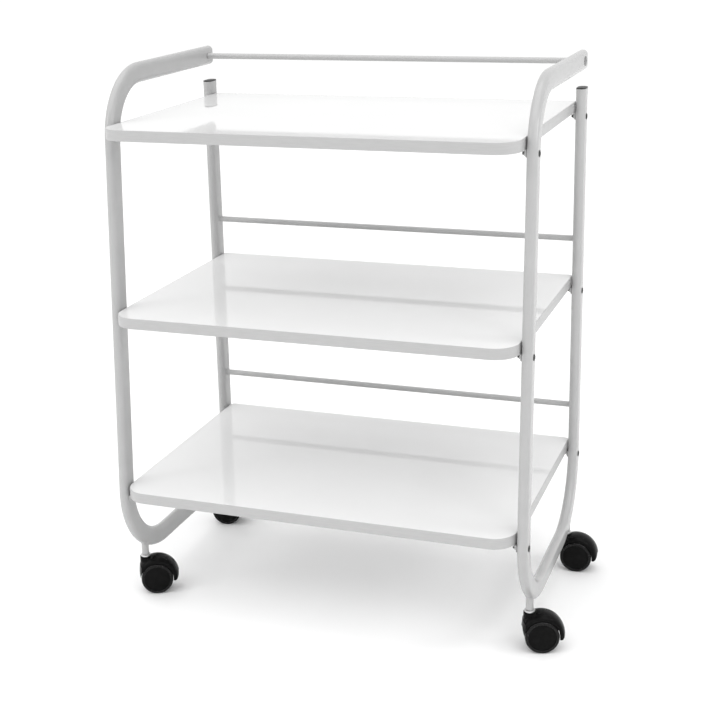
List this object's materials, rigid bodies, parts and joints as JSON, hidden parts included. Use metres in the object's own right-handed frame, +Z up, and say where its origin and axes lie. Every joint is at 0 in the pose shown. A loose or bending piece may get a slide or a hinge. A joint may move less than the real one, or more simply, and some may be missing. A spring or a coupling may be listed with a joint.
{
  "type": "rolling salon trolley",
  "caption": "Open trolley with flat shelves hung between bent oval-tube side frames, rear guard rails and twin-wheel swivel casters.",
  "frame": {"origin": "centre of the bounding box at floor level", "axes": "+X across the trolley, to its right as seen from the front; +Y from the front edge to the rear rails; +Z up"},
  "size_m": [0.6842, 0.4156, 0.8276],
  "materials": {
    "powder_coat": "satin light grey powder coat",
    "melamine": "glossy white laminate on board",
    "black_plastic": "satin black",
    "grey_plastic": "satin light grey",
    "caster_black": "semi-gloss black nylon",
    "wheel_black": "satin black nylon",
    "black_steel": "black oxide",
    "zinc": "bright zinc plate"
  },
  "bodies": {
    "trolley_frame": {"arm_plug_left": "grey_plastic", "arm_plug_right": "grey_plastic", "arm_rail_bolt_left": "zinc", "arm_rail_bolt_right": "zinc", "bracket_bottom_front_left": "powder_coat", "bracket_bottom_front_right": "powder_coat", "bracket_bottom_rear_left": "powder_coat", "bracket_bottom_rear_right": "powder_coat", "bracket_middle_front_left": "powder_coat", "bracket_middle_front_right": "powder_coat", "bracket_middle_rear_left": "powder_coat", "bracket_middle_rear_right": "powder_coat", "bracket_top_front_left": "powder_coat", "bracket_top_front_right": "powder_coat", "bracket_top_rear_left": "powder_coat", "bracket_top_rear_right": "powder_coat", "caster_stem_front_left": "zinc", "caster_stem_front_right": "zinc", "caster_stem_rear_left": "zinc", "caster_stem_rear_right": "zinc", "rear_rail_bottom": "powder_coat", "rear_rail_middle": "powder_coat", "rear_rail_top": "powder_coat", "shelf_bolt_bottom_front_left": "black_steel", "shelf_bolt_bottom_front_right": "black_steel", "shelf_bolt_bottom_rear_left": "black_steel", "shelf_bolt_bottom_rear_right": "black_steel", "shelf_bolt_middle_front_left": "black_steel", "shelf_bolt_middle_front_right": "black_steel", "shelf_bolt_middle_rear_left": "black_steel", "shelf_bolt_middle_rear_right": "black_steel", "shelf_bolt_top_front_left": "black_steel", "shelf_bolt_top_front_right": "black_steel", "shelf_bolt_top_rear_left": "black_steel", "shelf_bolt_top_rear_right": "black_steel", "shelf_bottom": "melamine", "shelf_middle": "melamine", "shelf_top": "melamine", "side_frame_left": "powder_coat", "side_frame_right": "powder_coat", "upright_cap_left": "black_plastic", "upright_cap_right": "black_plastic"},
    "caster_front_left": {"caster_hood_front_left": "caster_black", "caster_axle_front_left": "zinc"},
    "wheel_body_near_front_left": {"wheel_near_front_left": "wheel_black"},
    "wheel_body_far_front_left": {"wheel_far_front_left": "wheel_black"},
    "caster_front_right": {"caster_hood_front_right": "caster_black", "caster_axle_front_right": "zinc"},
    "wheel_body_near_front_right": {"wheel_near_front_right": "wheel_black"},
    "wheel_body_far_front_right": {"wheel_far_front_right": "wheel_black"},
    "caster_rear_left": {"caster_hood_rear_left": "caster_black", "caster_axle_rear_left": "zinc"},
    "wheel_body_near_rear_left": {"wheel_near_rear_left": "wheel_black"},
    "wheel_body_far_rear_left": {"wheel_far_rear_left": "wheel_black"},
    "caster_rear_right": {"caster_hood_rear_right": "caster_black", "caster_axle_rear_right": "zinc"},
    "wheel_body_near_rear_right": {"wheel_near_rear_right": "wheel_black"},
    "wheel_body_far_rear_right": {"wheel_far_rear_right": "wheel_black"}
  },
  "joints": [
    {"name": "swivel_front_left", "type": "hinge", "parent": "trolley_frame", "child": "caster_front_left", "pos_m": [-0.32736, -0.12942, 0.06], "axis": [0, 0, 1], "continuous": true},
    {"name": "roll_near_front_left", "type": "hinge", "parent": "caster_front_left", "child": "wheel_body_near_front_left", "pos_m": [-0.31196, -0.12224, 0.025], "axis": [0.4226, -0.9063, 0], "continuous": true},
    {"name": "roll_far_front_left", "type": "hinge", "parent": "caster_front_left", "child": "wheel_body_far_front_left", "pos_m": [-0.31196, -0.12224, 0.025], "axis": [0.4226, -0.9063, 0], "continuous": true},
    {"name": "swivel_front_right", "type": "hinge", "parent": "trolley_frame", "child": "caster_front_right", "pos_m": [0.29064, -0.12942, 0.06], "axis": [0, 0, 1], "continuous": true},
    {"name": "roll_near_front_right", "type": "hinge", "parent": "caster_front_right", "child": "wheel_body_near_front_right", "pos_m": [0.30671, -0.12389, 0.025], "axis": [0.3256, -0.9455, 0], "continuous": true},
    {"name": "roll_far_front_right", "type": "hinge", "parent": "caster_front_right", "child": "wheel_body_far_front_right", "pos_m": [0.30671, -0.12389, 0.025], "axis": [0.3256, -0.9455, 0], "continuous": true},
    {"name": "swivel_rear_left", "type": "hinge", "parent": "trolley_frame", "child": "caster_rear_left", "pos_m": [-0.32736, 0.14718, 0.06], "axis": [0, 0, 1], "continuous": true},
    {"name": "roll_near_rear_left", "type": "hinge", "parent": "caster_rear_left", "child": "wheel_body_near_rear_left", "pos_m": [-0.31073, 0.15072, 0.025], "axis": [0.2079, -0.9781, 0], "continuous": true},
    {"name": "roll_far_rear_left", "type": "hinge", "parent": "caster_rear_left", "child": "wheel_body_far_rear_left", "pos_m": [-0.31073, 0.15072, 0.025], "axis": [0.2079, -0.9781, 0], "continuous": true},
    {"name": "swivel_rear_right", "type": "hinge", "parent": "trolley_frame", "child": "caster_rear_right", "pos_m": [0.29064, 0.14718, 0.06], "axis": [0, 0, 1], "continuous": true},
    {"name": "roll_near_rear_right", "type": "hinge", "parent": "caster_rear_right", "child": "wheel_body_near_rear_right", "pos_m": [0.3076, 0.14837, 0.025], "axis": [0.0698, -0.9976, 0], "continuous": true},
    {"name": "roll_far_rear_right", "type": "hinge", "parent": "caster_rear_right", "child": "wheel_body_far_rear_right", "pos_m": [0.3076, 0.14837, 0.025], "axis": [0.0698, -0.9976, 0], "continuous": true}
  ]
}
